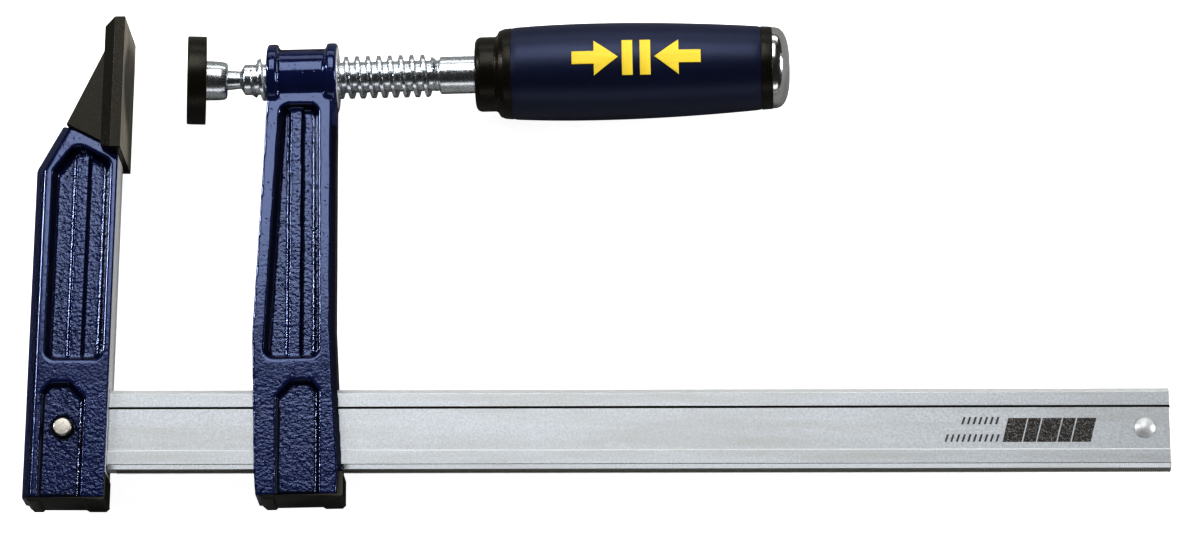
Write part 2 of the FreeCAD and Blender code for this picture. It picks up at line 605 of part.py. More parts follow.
# ---- swivel pad ----
def make_pad():
    """Ball seat, steel pressure plate with its cup, snap ring and plastic pad cap."""
    x = PAD_FACE_X
    seat_r = BALL_R + FIT
    cone = turned([(BALL_X - 2.0, 0), (BALL_X - 2.0, 2 ** 0.5 * seat_r - 2.0),
                   (BALL_X - seat_r, (2 ** 0.5 - 1) * seat_r), (BALL_X - seat_r, 0)])
    shell = Part.makeSphere(seat_r + SEAT_THICK, V(BALL_X, 0, 0))
    seat = shell.common(box((BALL_X - 10, -10, -10), (BALL_X - 2.4, 10, 10))).cut(cone)
    disc_r, disc_start, disc_end = 14.4, x + 2.6, x + 5.9
    plate = turned([
        (disc_start, 0), (disc_start, disc_r), (disc_end, disc_r), (disc_end, CUP_R),
        (x + CUP_END - 2.2, CUP_R), (x + CUP_END - 0.8, CUP_R - 0.6), (x + CUP_END, CUP_R - 1.7),
        (x + CUP_END, 0),
    ])
    socket = Part.makeSphere(seat_r + SEAT_THICK + FIT, V(BALL_X, 0, 0))
    bore_r = BALL_R + 0.3
    groove_x = BALL_X + 3.3
    wire_r = 0.55
    plate = plate.cut([
        socket,
        rod(bore_r, V(BALL_X, 0, 0), 10, X_AXIS),
        rod(bore_r + 0.5, V(groove_x - wire_r - FIT, 0, 0), 2 * (wire_r + FIT), X_AXIS),
    ])
    ring = Part.makeTorus(bore_r - 0.1, wire_r, V(groove_x, 0, 0), X_AXIS)
    gap = box((groove_x - 2, 0, -1.2), (groove_x + 2, 10, 1.2))
    ring = ring.cut(gap)
    cap = rod(PAD_R, V(x, 0, 0), PAD_THICK, X_AXIS)
    cap = round_end(cap, 0.5, x)
    cap = round_end(cap, 0.4, x + PAD_THICK)
    cap = cap.cut([
        rod(disc_r + FIT, V(disc_start - FIT, 0, 0), disc_end - disc_start + 2 * FIT, X_AXIS),
        rod(disc_r - 1.2, V(disc_end, 0, 0), 5, X_AXIS),
    ])
    return {
        "ball_seat": on_axis(seat),
        "pressure_plate": pad_pose(plate),
        "pad_snap_ring": pad_pose(ring),
        "pad_cap": pad_pose(cap),
    }


def main():
    nodes = {
        "bar": make_bar(),
        "bar_stop_rivet": make_stop_rivet(),
        "fixed_arm": make_fixed_arm(),
        "fixed_arm_rivet": make_arm_rivet(),
        "fixed_jaw_cap": make_jaw_cap(),
        "fixed_arm_foot": make_foot(ARM_BACK, ARM_INNER, ARM_BOTTOM),
        "brake_pin": make_brake_pin(),
        "sliding_arm": rest_pose(make_sliding_arm()),
        "sliding_arm_foot": rest_pose(make_foot(SLIDE_FOOT_BACK, SLIDE_FOOT_INNER, SLIDE_BOTTOM)),
        "spindle": on_axis(make_spindle()),
    }
    for name, shape in make_handle().items():
        nodes[name] = on_axis(shape)
    nodes.update(make_pad())
    os.makedirs("parts", exist_ok=True)
    for name, shape in nodes.items():
        shape.exportStep("parts/" + name + ".step")
        print(name, "valid" if shape.isValid() else "INVALID", len(shape.Solids), "solids",
              round(shape.Volume), "mm3", len(shape.Faces), "faces")


main()
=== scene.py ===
import bmesh
import bpy
import json
import math
import numpy as np
from mathutils import Matrix, Vector, noise


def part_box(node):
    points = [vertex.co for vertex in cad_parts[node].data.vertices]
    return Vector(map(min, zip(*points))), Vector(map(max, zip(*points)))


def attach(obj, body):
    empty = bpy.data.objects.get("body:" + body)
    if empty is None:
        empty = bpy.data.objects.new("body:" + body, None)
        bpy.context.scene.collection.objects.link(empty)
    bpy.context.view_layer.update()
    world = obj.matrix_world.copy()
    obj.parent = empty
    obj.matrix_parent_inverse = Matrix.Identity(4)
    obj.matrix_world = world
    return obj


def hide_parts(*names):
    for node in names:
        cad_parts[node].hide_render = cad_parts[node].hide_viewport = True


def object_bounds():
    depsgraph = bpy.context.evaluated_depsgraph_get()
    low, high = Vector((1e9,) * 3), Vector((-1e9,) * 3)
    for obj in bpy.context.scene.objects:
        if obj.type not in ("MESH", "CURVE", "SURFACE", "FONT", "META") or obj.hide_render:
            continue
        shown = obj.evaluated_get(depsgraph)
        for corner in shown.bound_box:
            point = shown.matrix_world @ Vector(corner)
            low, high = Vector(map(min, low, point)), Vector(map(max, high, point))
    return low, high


# F clamp lying on a pale floor. Metres, in the CAD model's frame: +X along the bar,
# +Y from the bar to the jaws, +Z up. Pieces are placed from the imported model's boxes,
# joints and mounts.

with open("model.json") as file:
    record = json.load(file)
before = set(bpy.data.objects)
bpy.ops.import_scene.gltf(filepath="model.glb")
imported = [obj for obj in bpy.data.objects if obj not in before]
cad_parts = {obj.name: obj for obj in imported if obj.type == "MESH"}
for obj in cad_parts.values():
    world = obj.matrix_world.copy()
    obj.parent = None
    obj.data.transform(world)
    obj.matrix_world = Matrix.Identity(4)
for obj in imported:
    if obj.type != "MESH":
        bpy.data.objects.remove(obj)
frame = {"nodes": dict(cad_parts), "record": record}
cad_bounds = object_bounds()
MM = 0.001
BACKDROP_GLOW = 0.92        # how bright floor and world look to the camera itself

BEHAVIOUR = frame["record"]["behaviour"]
JOINTS = {joint["name"]: joint for joint in BEHAVIOUR["joints"]}
BODY_OF = {node: body for body, nodes in BEHAVIOUR["bodies"].items() for node in nodes}
SLOT_OF = {part["node"]: part["material_slot"] for part in frame["record"]["subparts"]}


# ---------------------------------------------------------------- node material helpers
class Shader:
    """A small builder for node materials."""

    def __init__(self, name):
        self.material = bpy.data.materials.new(name)
        self.material.use_nodes = True
        self.tree = self.material.node_tree
        self.out = self.tree.nodes["Principled BSDF"]
        self.place = self.node("ShaderNodeTexCoord").outputs["Object"]

    def node(self, kind, **settings):
        """A new node, with its own settings, such as its operation."""
        made = self.tree.nodes.new(kind)
        for key, value in settings.items():
            setattr(made, key, value)
        return made

    def link(self, source, target):
        self.tree.links.new(source, target)

    def plug(self, value, socket):
        """Feeds the socket from another node's output, a colour or a number."""
        if hasattr(value, "is_linked"):
            self.link(value, socket)
        elif isinstance(value, (tuple, list)):
            socket.default_value = (*value, 1.0)
        else:
            socket.default_value = value

    def set(self, **values):
        """Constants on the shader's own sockets, with _ for each space in a socket's name."""
        for key, value in values.items():
            self.plug(value, self.out.inputs[key.replace("_", " ")])

    def noise(self, size_mm, detail=4.0, rough=0.55, stretch=(1, 1, 1)):
        """Noise whose blobs are about size_mm across; stretch lengthens them along an axis."""
        scale = self.node("ShaderNodeMapping")
        scale.inputs["Scale"].default_value = [1.0 / factor for factor in stretch]
        self.link(self.place, scale.inputs["Vector"])
        made = self.node("ShaderNodeTexNoise")
        made.inputs["Scale"].default_value = 1.0 / (size_mm * MM)
        made.inputs["Detail"].default_value = detail
        made.inputs["Roughness"].default_value = rough
        self.link(scale.outputs["Vector"], made.inputs["Vector"])
        return made.outputs["Fac"]

    def cells(self, size_mm):
        """Distance from the nearest of scattered points, as a share of their spacing."""
        made = self.node("ShaderNodeTexVoronoi")
        made.inputs["Scale"].default_value = 1.0 / (size_mm * MM)
        self.link(self.place, made.inputs["Vector"])
        return made.outputs["Distance"]

    def ramp(self, source, stops):
        """Maps a noise to colours, given as (place, colour) stops."""
        made = self.node("ShaderNodeValToRGB")
        band = made.color_ramp
        while len(band.elements) < len(stops):
            band.elements.new(0.5)
        for element, (at, colour) in zip(band.elements, stops):
            element.position = at
            element.color = (*colour, 1.0)
        self.link(source, made.inputs["Fac"])
        return made.outputs["Color"]

    def grey(self, source, low, high, start=0.3, end=0.7):
        """Maps a noise between start and end to numbers between low and high."""
        made = self.node("ShaderNodeMapRange")
        for key, value in (("From Min", start), ("From Max", end), ("To Min", low), ("To Max", high)):
            made.inputs[key].default_value = value
        self.link(source, made.inputs["Value"])
        return made.outputs["Result"]

    def mix(self, factor, first, second):
        """Colour between the first, at factor 0, and the second, at factor 1."""
        made = self.node("ShaderNodeMix", data_type="RGBA")
        for value, socket in ((factor, 0), (first, 6), (second, 7)):
            self.plug(value, made.inputs[socket])
        return made.outputs[2]

    def math(self, operation, first, second):
        """One sum on two outputs or numbers."""
        made = self.node("ShaderNodeMath", operation=operation)
        self.plug(first, made.inputs[0])
        self.plug(second, made.inputs[1])
        return made.outputs["Value"]

    def attribute(self, name):
        """A value stored on the mesh, point by point."""
        return self.node("ShaderNodeAttribute", attribute_name=name).outputs["Fac"]

    def pointiness(self):
        """Above 0.5 on edges that stand out, below it in corners."""
        return self.node("ShaderNodeNewGeometry").outputs["Pointiness"]

    def bump(self, height, depth_mm):
        """Adds a bump on top of those added before."""
        made = self.node("ShaderNodeBump")
        made.inputs["Distance"].default_value = depth_mm * MM
        self.link(height, made.inputs["Height"])
        normal = self.out.inputs["Normal"]
        if normal.is_linked:
            self.link(normal.links[0].from_socket, made.inputs["Normal"])
        self.link(made.outputs["Normal"], normal)

    def colour(self, source):
        """The shader's base colour."""
        self.link(source, self.out.inputs["Base Color"])

    def roughness(self, source):
        """The shader's roughness, 0 for a mirror and 1 for chalk."""
        self.link(source, self.out.inputs["Roughness"])


# ---------------------------------------------------------------- materials
def paint_material():
    """Gloss enamel over a casting: runs thin on edges, thick and rough on cast skin, and near black as
    painted shade in creases and on the walls that the wall attribute marks.
    """
    look = Shader("blue_paint")
    cast = look.attribute("cast")
    tone = look.ramp(look.noise(9.0, 3.0), [(0.3, (0.006, 0.011, 0.066)), (0.7, (0.009, 0.016, 0.088))])
    edge = look.grey(look.pointiness(), 0.0, 1.0, 0.54, 0.62)
    worn = look.mix(look.math("MULTIPLY", edge, 0.25), tone, (0.05, 0.08, 0.22))
    # Painted shade: near black in creases, where pointiness is low, and on the pocket and rib walls from the
    # wall attribute.
    crease_shade = look.grey(look.pointiness(), 0.9, 0.0, 0.43, 0.485)
    thick = look.math("MAXIMUM", crease_shade, look.attribute("wall"))
    with_painted_shade = look.mix(thick, worn, (0.001, 0.001, 0.006))
    dust = look.grey(look.noise(0.5, 6.0, 0.7), 0.0, 0.05, 0.58, 0.75)
    look.colour(look.mix(dust, with_painted_shade, (0.12, 0.15, 0.28)))
    look.set(Specular_IOR_Level=1.0, Specular_Tint=(0.54, 0.65, 1.0))
    look.roughness(look.grey(look.noise(1.6, 5.0), 0.07, 0.14))
    look.bump(look.noise(2.2, 3.0, 0.5), 0.030)
    peel = look.math("MULTIPLY", look.noise(1.1, 2.0, 0.5), cast)
    look.bump(peel, 0.11)
    # Two sizes of pit: spacing and depth in mm, reach as a share of the spacing, and the
    # size in mm and threshold of the patches that have them.
    large_pits = (2.4, 0.45, 0.20, 5.0, 0.42)
    small_pits = (1.3, 0.24, 0.26, 9.0, 0.52)
    for spacing, depth, reach, patch, threshold in (large_pits, small_pits):
        rim = look.grey(look.cells(spacing), -1.0, 0.0, reach * 0.35, reach)
        here = look.grey(look.noise(patch, 2.0, 0.5), 0.0, 1.0, threshold, threshold + 0.08)
        look.bump(look.math("MULTIPLY", look.math("MULTIPLY", rim, here), cast), depth)
    return look.material


def painted_shade_material():
    """Near-black, less glossy enamel as painted shade on a pocket's walls and on shaded sides: dark and less
    glossy.
    """
    look = Shader("painted_shade_enamel")
    shade_mottle = look.noise(1.2, 4.0, 0.6)
    look.colour(look.ramp(shade_mottle, [(0.3, (0.001, 0.001, 0.006)), (0.7, (0.002, 0.003, 0.022))]))
    look.set(Specular_IOR_Level=0.15, Specular_Tint=(0.50, 0.62, 1.0))
    look.roughness(look.grey(shade_mottle, 0.28, 0.42))
    look.bump(shade_mottle, 0.05)
    return look.material


def bare_steel_material():
    """Face ground bare after painting, with the grinder's long scratches."""
    look = Shader("bare_steel")
    look.set(Metallic=0.0)
    lines = look.noise(0.25, 5.0, 0.6, stretch=(1, 60, 1))
    look.colour(look.ramp(lines, [(0.3, (0.72, 0.73, 0.75)), (0.7, (0.93, 0.94, 0.95))]))
    look.roughness(look.grey(lines, 0.35, 0.5))
    look.bump(lines, 0.012)
    return look.material


def zinc_material(name, shine, tone=1.0, along=(1, 1, 1)):
    """Zinc plating: fine mottle, dull patches and faint drawing marks."""
    look = Shader(name)
    look.set(Metallic=1.0)
    mottle = look.noise(0.8, 6.0, 0.75)
    cloud = look.noise(9.0, 5.0, 0.65, stretch=along)
    light = [c * tone for c in (0.86, 0.90, 0.94)]
    dark = [c * tone for c in (0.58, 0.61, 0.64)]
    base = look.ramp(mottle, [(0.32, dark), (0.62, light)])
    warm = look.mix(look.grey(cloud, 0.0, 0.5, 0.48, 0.70), base, (0.58 * tone, 0.57 * tone, 0.53 * tone))
    specks = look.grey(look.noise(0.22, 2.0, 0.5), 0.0, 0.5, 0.66, 0.78)
    look.colour(look.mix(specks, warm, (0.32, 0.33, 0.35)))
    look.roughness(look.grey(mottle, shine, shine + 0.16))
    look.bump(mottle, 0.020)
    look.bump(look.noise(0.3, 3.0, 0.5, stretch=along), 0.008)
    return look.material


def steel_material(name, base, shine, grain_mm=0.3, metal=1.0):
    """Plain steel with a fine grain; shine is its lowest roughness."""
    look = Shader(name)
    look.set(Metallic=metal)
    grain = look.noise(grain_mm, 5.0, 0.65)
    look.colour(look.ramp(grain, [(0.3, [c * 0.75 for c in base]), (0.7, base)]))
    look.roughness(look.grey(grain, shine, shine + 0.2))
    look.bump(grain, 0.02)
    return look.material


def plastic_material(name, base, shine=0.42, grain_mm=0.28, depth=0.02, scuff=0.1,
                     tint=(1.0, 0.95, 0.84), level=0.5):
    """Moulded plastic with spark-eroded grain, slight flow marks and light scuffs."""
    look = Shader(name)
    flow = look.noise(12.0, 3.0, 0.5, stretch=(2, 1, 1))
    tone = look.ramp(flow, [(0.3, [c * 0.85 for c in base]), (0.7, [min(1.0, c * 1.15) for c in base])])
    rub = look.grey(look.noise(2.5, 6.0, 0.75), 0.0, scuff, 0.55, 0.8)
    look.colour(look.mix(rub, tone, [min(1.0, c + 0.12) for c in base]))
    look.set(Specular_Tint=tint, Specular_IOR_Level=level)
    grain = look.noise(grain_mm, 3.0, 0.6)
    look.roughness(look.grey(grain, shine - 0.06, shine + 0.08))
    look.bump(grain, depth)
    return look.material


def rubbed_and_lit_plastic_material():
    """Black plastic greyed by the work it has been pressed on, in upright streaks; its pale grey is also
    painted light, standing in for the light that falls on the clamping face.
    """
    look = Shader("rubbed_and_lit_plastic")
    streak = look.noise(1.1, 4.0, 0.6, stretch=(1, 25, 1))
    look.colour(look.ramp(streak, [(0.35, (0.19, 0.168, 0.13)), (0.65, (0.60, 0.55, 0.45))]))
    look.roughness(look.grey(streak, 0.40, 0.55))
    look.bump(streak, 0.01)
    return look.material


def zinc_cut_material():
    """Pale satin zinc on the bar's upper edge and ends, and on the stop rivet."""
    look = Shader("zinc_cut")
    look.set(Metallic=0.35)
    grain = look.noise(0.5, 5.0, 0.65, stretch=(6, 1, 1))
    look.colour(look.ramp(grain, [(0.3, (0.78, 0.80, 0.81)), (0.7, (0.96, 0.97, 0.97))]))
    look.roughness(look.grey(grain, 0.38, 0.5))
    look.bump(grain, 0.01)
    return look.material


def yellow_glowing_material():
    """Printed sign: opaque yellow ink with a faint matt grain, which also glows faintly as painted light."""
    look = Shader("yellow_plastic")
    grain = look.noise(0.5, 4.0, 0.6)
    look.colour(look.ramp(grain, [(0.3, (0.93, 0.70, 0.06)), (0.7, (0.98, 0.77, 0.09))]))
    look.roughness(look.grey(grain, 0.48, 0.6))
    look.bump(grain, 0.004)
    # Painted light: the ink glows a little, though it is no lamp.
    look.set(Emission_Color=(0.95, 0.72, 0.06), Emission_Strength=0.32)
    return look.material


def chrome_material():
    """Bright plated cap with a slight haze."""
    look = Shader("chrome_cap")
    look.set(Metallic=1.0)
    haze = look.noise(1.5, 6.0, 0.7)
    look.colour(look.ramp(haze, [(0.3, (0.74, 0.74, 0.75)), (0.7, (0.86, 0.86, 0.86))]))
    look.roughness(look.grey(haze, 0.14, 0.22))
    look.bump(look.noise(0.6, 3.0), 0.003)
    return look.material


def etched_material():
    """Electro-etched mark: black, eaten into the zinc with bright specks left."""
    look = Shader("etched_mark")
    speck = look.noise(0.36, 2.0, 0.6)
    eaten = (0.022, 0.019, 0.016)
    brown = (0.16, 0.15, 0.14)
    zinc = (0.45, 0.46, 0.47)
    look.colour(look.ramp(speck, [(0.50, eaten), (0.60, brown), (0.70, zinc)]))
    look.roughness(look.grey(speck, 0.45, 0.7))
    look.bump(speck, 0.03)
    return look.material


def floor_material():
    """Pale matt floor. The camera sees it lit to near white, as in a light tent; what it
    throws back at the clamp stays low, so that the paint and the steel keep their darks."""
    look = Shader("pale_floor")
    look.set(Specular_IOR_Level=0.15)
    look.colour(look.ramp(look.noise(90.0, 3.0), [(0.3, (0.90, 0.90, 0.90)), (0.7, (0.93, 0.93, 0.93))]))
    look.roughness(look.grey(look.noise(4.0, 3.0), 0.75, 0.85))
    look.set(Emission_Color=(1.0, 1.0, 1.0), Emission_Strength=BACKDROP_GLOW)
    matt = look.node("ShaderNodeBsdfDiffuse")
    look.plug((0.40, 0.40, 0.39), matt.inputs["Color"])
    seen = look.node("ShaderNodeLightPath").outputs["Is Camera Ray"]
    both = look.node("ShaderNodeMixShader")
    look.link(seen, both.inputs[0])
    look.link(matt.outputs[0], both.inputs[1])
    look.link(look.out.outputs[0], both.inputs[2])
    look.link(both.outputs[0], look.tree.nodes["Material Output"].inputs["Surface"])
    return look.material


# One material for each of the record's slots, and more for faces that look different.
MATERIALS = {
    "zinc_steel": zinc_material("zinc_steel", 0.18, 1.12),
    "zinc_bar": zinc_material("zinc_bar", 0.34, 0.74, along=(12, 1, 1)),
    "zinc_drawn": zinc_material("zinc_drawn", 0.16, 0.84, along=(12, 1, 1)),
    "rivet_steel": steel_material("rivet_steel", (0.66, 0.63, 0.58), 0.24, 0.6),
    "hardened_steel": steel_material("hardened_steel", (0.16, 0.16, 0.17), 0.3),
    "spring_steel": steel_material("spring_steel", (0.4, 0.4, 0.42), 0.25, 0.15),
    "blue_paint": paint_material(),
    "painted_shade_enamel": painted_shade_material(),
    "bare_steel": bare_steel_material(),
    "black_plastic": plastic_material("black_plastic", (0.011, 0.009, 0.005), 0.29, 0.5, 0.05, level=0.32),
    "foot_plastic": plastic_material("foot_plastic", (0.004, 0.004, 0.003), 0.35, level=0.35),
    "rubbed_and_lit_plastic": rubbed_and_lit_plastic_material(),
    "zinc_cut": zinc_cut_material(),
    # Painted shade: near-black steel on the walls of the web's steps that face -Y.
    "bar_step_shade": steel_material("bar_step_shade", (0.05, 0.05, 0.045), 0.5, 1.2),
    # Painted shade: dark steel on the teeth's flanks that face +X, so the teeth show dark and bright in turn.
    "tooth_flank_shade": steel_material("tooth_flank_shade", (0.30, 0.27, 0.20), 0.45, 0.4, 0.5),
    "white_plastic": plastic_material("white_plastic", (0.75, 0.74, 0.70), 0.35, scuff=0.0),
    "blue_grip": plastic_material("blue_grip", (0.004, 0.0065, 0.036), 0.40, 0.35, 0.035, scuff=0.015,
                                  tint=(0.56, 0.66, 1.0), level=0.85),
    "yellow_plastic": yellow_glowing_material(),
    "chrome_cap": chrome_material(),
    "etched": etched_material(),
    "etched_line": steel_material("etched_line", (0.10, 0.10, 0.10), 0.5, 0.2, 0.3),
}


# ---------------------------------------------------------------- mesh helpers
def add_object(name, data):
    """A new object in the scene, for a mesh, a light or a camera."""
    made = bpy.data.objects.new(name, data)
    bpy.context.scene.collection.objects.link(made)
    return made


def baked(obj):
    """The object's mesh with its modifiers applied; the modifiers are then removed."""
    graph = bpy.context.evaluated_depsgraph_get()
    mesh = bpy.data.meshes.new_from_object(obj.evaluated_get(graph))
    obj.modifiers.clear()
    old = obj.data
    obj.data = mesh
    bpy.data.meshes.remove(old)
    return obj


def stand_for(piece, node, material=None):
    """The piece takes the CAD node's place, body and slot, and its material if it has none."""
    if not piece.data.materials:
        piece.data.materials.append(material or MATERIALS[SLOT_OF[node]])
    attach(piece, BODY_OF[node])
    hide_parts(node)


def copy_of(node, name):
    """The CAD node's mesh as a new object, with its doubled points joined."""
    mesh = frame["nodes"][node].data.copy()
    mesh.materials.clear()
    bm = bmesh.new()
    bm.from_mesh(mesh)
    bmesh.ops.remove_doubles(bm, verts=bm.verts, dist=0.0001 * MM)
    bm.to_mesh(mesh)
    bm.free()
    return add_object(name, mesh)


def read_points(mesh, field="co"):
    """One row of three numbers for each point: its place, or another field such as its normal."""
    flat = np.empty(len(mesh.vertices) * 3, np.float32)
    mesh.vertices.foreach_get(field, flat)
    return flat.reshape(-1, 3).astype(np.float64)


def edge_ends(mesh):
    """The numbers of the points at both ends of every edge."""
    edges = np.empty(len(mesh.edges) * 2, np.int32)
    mesh.edges.foreach_get("vertices", edges)
    return edges.reshape(-1, 2).T


def set_points(mesh, points):
    """Moves the mesh's points to the given places."""
    mesh.vertices.foreach_set("co", points.astype(np.float32).ravel())
    mesh.update()


def smoothed(mesh, points, weight, rounds):
    """Moves each point towards its neighbours' mean, by weight per point."""
    a, b = edge_ends(mesh)
    count = np.bincount(np.concatenate([a, b]), minlength=len(points))[:, None]
    for _ in range(rounds):
        total = np.zeros_like(points)
        for axis in range(3):
            total[:, axis] = np.bincount(a, points[b, axis], len(points))
            total[:, axis] += np.bincount(b, points[a, axis], len(points))
        points = points + weight[:, None] * (total / count - points)
    return points


def spread(mesh, values, room, rounds):
    """Each point takes the largest value of its neighbours, limited by its room."""
    a, b = edge_ends(mesh)
    for _ in range(rounds):
        wide = values.copy()
        np.maximum.at(wide, a, values[b])
        np.maximum.at(wide, b, values[a])
        values = np.maximum(values, wide * room)
    return values


def mesh_from(bm, name):
    """A mesh of the built faces, all facing outwards; it uses up the bmesh."""
    bmesh.ops.recalc_face_normals(bm, faces=bm.faces)
    mesh = bpy.data.meshes.new(name)
    bm.to_mesh(mesh)
    bm.free()
    return mesh


def shade(obj, angle):
    """Smooth shading, with edges sharper than the angle in degrees kept crisp."""
    obj.data.shade_smooth()
    obj.data.set_sharp_from_angle(angle=math.radians(angle))
    return obj


def softened(node, width_mm, segments=3, angle=25.0):
    """Copy of a flat-faced CAD node with every edge rounded."""
    piece = copy_of(node, node + "_moulded")
    bm = bmesh.new()
    bm.from_mesh(piece.data)
    bmesh.ops.dissolve_limit(bm, angle_limit=math.radians(1.0), verts=bm.verts, edges=bm.edges)
    bm.to_mesh(piece.data)
    bm.free()
    piece.data.shade_smooth()
    bevel = piece.modifiers.new("edges", "BEVEL")
    bevel.width = width_mm * MM
    bevel.segments = segments
    bevel.limit_method = "ANGLE"
    bevel.angle_limit = math.radians(angle)
    bevel.harden_normals = True
    bevel.use_clamp_overlap = True
    return baked(piece)


# ---------------------------------------------------------------- turned pieces
def arc_corner(before, corner, after, radius, steps=6):
    """Points of the arc that rounds one corner of an outline."""
    corner = Vector(corner)
    to_before = Vector(before) - corner
    to_after = Vector(after) - corner
    room = 0.49 * min(to_before.length, to_after.length)
    half = to_before.angle(to_after) / 2
    reach = min(radius / math.tan(half), room)
    radius = reach * math.tan(half)
    middle = (to_before.normalized() + to_after.normalized()).normalized()
    centre = corner + middle * (radius / math.sin(half))
    start = corner + to_before.normalized() * reach - centre
    end = corner + to_after.normalized() * reach - centre
    sweep = start.angle_signed(end)
    turn = [Matrix.Rotation(-sweep * i / steps, 2) @ start + centre for i in range(steps + 1)]
    return [tuple(p) for p in turn]


def rounded(corners):
    """Profile from (along, radius, rounding) corners; rounding 0 keeps the corner."""
    points = []
    count = len(corners)
    for i, (along, radius, rounding) in enumerate(corners):
        if rounding <= 0 or i in (0, count - 1):
            points.append((along, radius))
            continue
        before, after = corners[i - 1][:2], corners[i + 1][:2]
        points += arc_corner(before, (along, radius), after, rounding)
    return points


class Axis:
    """A line in space with two square directions, for turned pieces."""

    def __init__(self, origin, direction):
        self.origin = Vector(origin)
        self.along = Vector(direction).normalized()
        hint = Vector((0, 0, 1)) if abs(self.along.z) < 0.9 else Vector((1, 0, 0))
        self.up = (hint - self.along * self.along.dot(hint)).normalized()
        self.side = self.up.cross(self.along)

    def matrix(self):
        """Columns: along, side, up, for points given as (along, side, up)."""
        made = Matrix.Identity(4)
        for i, column in enumerate((self.along, self.side, self.up, self.origin)):
            made.col[i][:3] = column
        return made

    def read(self, node):
        """The node's vertices as (along, radius, angle from up towards side)."""
        points = read_points(frame["nodes"][node].data) - np.array(self.origin)
        along = points @ np.array(self.along)
        side = points @ np.array(self.side)
        up = points @ np.array(self.up)
        return along, np.hypot(side, up), np.arctan2(side, up)

    def span(self, node):
        """Where the node starts and ends along the axis, and its largest radius."""
        along, radius, _ = self.read(node)
        return along.min(), along.max(), radius.max()


def turned(name, axis, profile, segments=96, radius_at=None):
    """Closed solid of revolution. The profile is a list of (along, radius); it closes on itself
    unless both ends are on the axis. radius_at(along, angle, radius) may vary the radius."""
    bm = bmesh.new()
    rings = []
    for along, radius in profile:
        if radius <= 1e-9:
            rings.append([bm.verts.new((along, 0, 0))])
            continue
        ring = []
        for i in range(segments):
            angle = 2 * math.pi * i / segments
            r = radius_at(along, angle, radius) if radius_at else radius
            ring.append(bm.verts.new((along, r * math.sin(angle), r * math.cos(angle))))
        rings.append(ring)
    pairs = list(zip(rings, rings[1:]))
    if len(rings[0]) > 1:
        pairs.append((rings[-1], rings[0]))
    for first, second in pairs:
        for i in range(segments):
            j = (i + 1) % segments
            corners = [first[i % len(first)], first[j % len(first)], second[j % len(second)],
                       second[i % len(second)]]
            face = list(dict.fromkeys(corners))
            if len(face) > 2:
                bm.faces.new(face)
    mesh = mesh_from(bm, name)
    mesh.transform(axis.matrix())
    if axis.matrix().determinant() < 0:
        mesh.flip_normals()
    return shade(add_object(name, mesh), 50.0)


SPINDLE_AXIS = Axis(JOINTS["spindle_turn"]["pos_m"], JOINTS["spindle_turn"]["axis"])
PAD_MOUNT = next(m for m in frame["record"]["mounts"] if m["name"] == "pad_face")
PAD_AXIS = Axis(PAD_MOUNT["pos_m"], [-c for c in PAD_MOUNT["axis"]])


# ---------------------------------------------------------------- castings
ARM_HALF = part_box("fixed_arm")[1][2]                        # half of the arms' thickness
ROUGH_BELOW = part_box("fixed_jaw_cap")[0][1] - 84 * MM       # the skin is roughest under this height
VOXEL = 0.48 * MM
DENT_DEPTH = 0.10 * MM


def cast_arm(node, find_machined):
    """Casting from the CAD solid: soft edges, sand-cast skin, bare where it was machined."""
    piece = copy_of(node, node + "_casting")
    remesh = piece.modifiers.new("skin", "REMESH")
    remesh.mode = "VOXEL"
    remesh.voxel_size = VOXEL
    mesh = baked(piece).data
    points = read_points(mesh)
    machined = find_machined(points, read_points(mesh, "normal"))
    points = smoothed(mesh, points, np.where(machined, 0.15, 0.5), 3)
    set_points(mesh, points)
    normals = read_points(mesh, "normal")
    # The sliding arm's boss stands above its faces, so its height isn't read from its own points.
    face_height = np.abs(points[:, 2]).max() if node == "fixed_arm" else ARM_HALF
    cast = cast_skin(points, normals, face_height)
    cast[machined] = 0.0
    points = points - normals * (dents(points) * cast * DENT_DEPTH)[:, None]
    set_points(mesh, points)
    # Walls of pockets and ribs that get painted shade, as an attribute from 0 to 1.
    wall = wall_shade_mask(mesh, points, normals, face_height)
    for name, values in (("cast", cast), ("wall", wall)):
        layer = mesh.attributes.new(name, "FLOAT", "POINT")
        layer.data.foreach_set("value", values.astype(np.float32))
    # Painted shade: marked walls that face +X, and the sliding arm's low +X side, get the near-black enamel.
    shaded = (wall > 0.5) & (normals[:, 0] > -0.2)
    if node == "sliding_arm":
        shaded |= (normals[:, 0] > 0.5) & (points[:, 1] < -20 * MM)
    paint_faces(mesh, machined, shaded)
    stand_for(piece, node)


def cast_skin(points, normals, face_height):
    """How rough the sand left each point, from 0 to 1: most on pocket floors and low on the arm."""
    sunk = np.clip((face_height - 0.6 * MM - np.abs(points[:, 2])) / (0.8 * MM), 0, 1)
    flat = np.clip((np.abs(normals[:, 2]) - 0.6) / 0.3, 0, 1)
    low = np.clip((ROUGH_BELOW - points[:, 1]) / (14 * MM), 0, 1)
    return np.clip(0.10 + 0.75 * low + 0.9 * sunk * flat, 0, 1)


def dents(points):
    """Depth of the sand's dents at each point, from 0 to 1, in two sizes."""
    depth = np.empty(len(points))
    for i, point in enumerate(points):
        spot = Vector(point)
        coarse = noise.noise(spot / (2.1 * MM))
        fine = noise.noise(spot / (1.05 * MM) + Vector((7, 3, 1)))
        depth[i] = 0.25 * (2 + coarse + fine)
    return depth


def side_margin(points):
    """Each point's distance from the nearer side of the arm, at its own height."""
    rows = np.round(points[:, 1] / (0.5 * MM)).astype(int)
    rows -= rows.min()
    left = np.full(rows.max() + 1, np.inf)
    right = np.full(rows.max() + 1, -np.inf)
    np.minimum.at(left, rows, points[:, 0])
    np.maximum.at(right, rows, points[:, 0])
    return np.minimum(points[:, 0] - left[rows], right[rows] - points[:, 0])


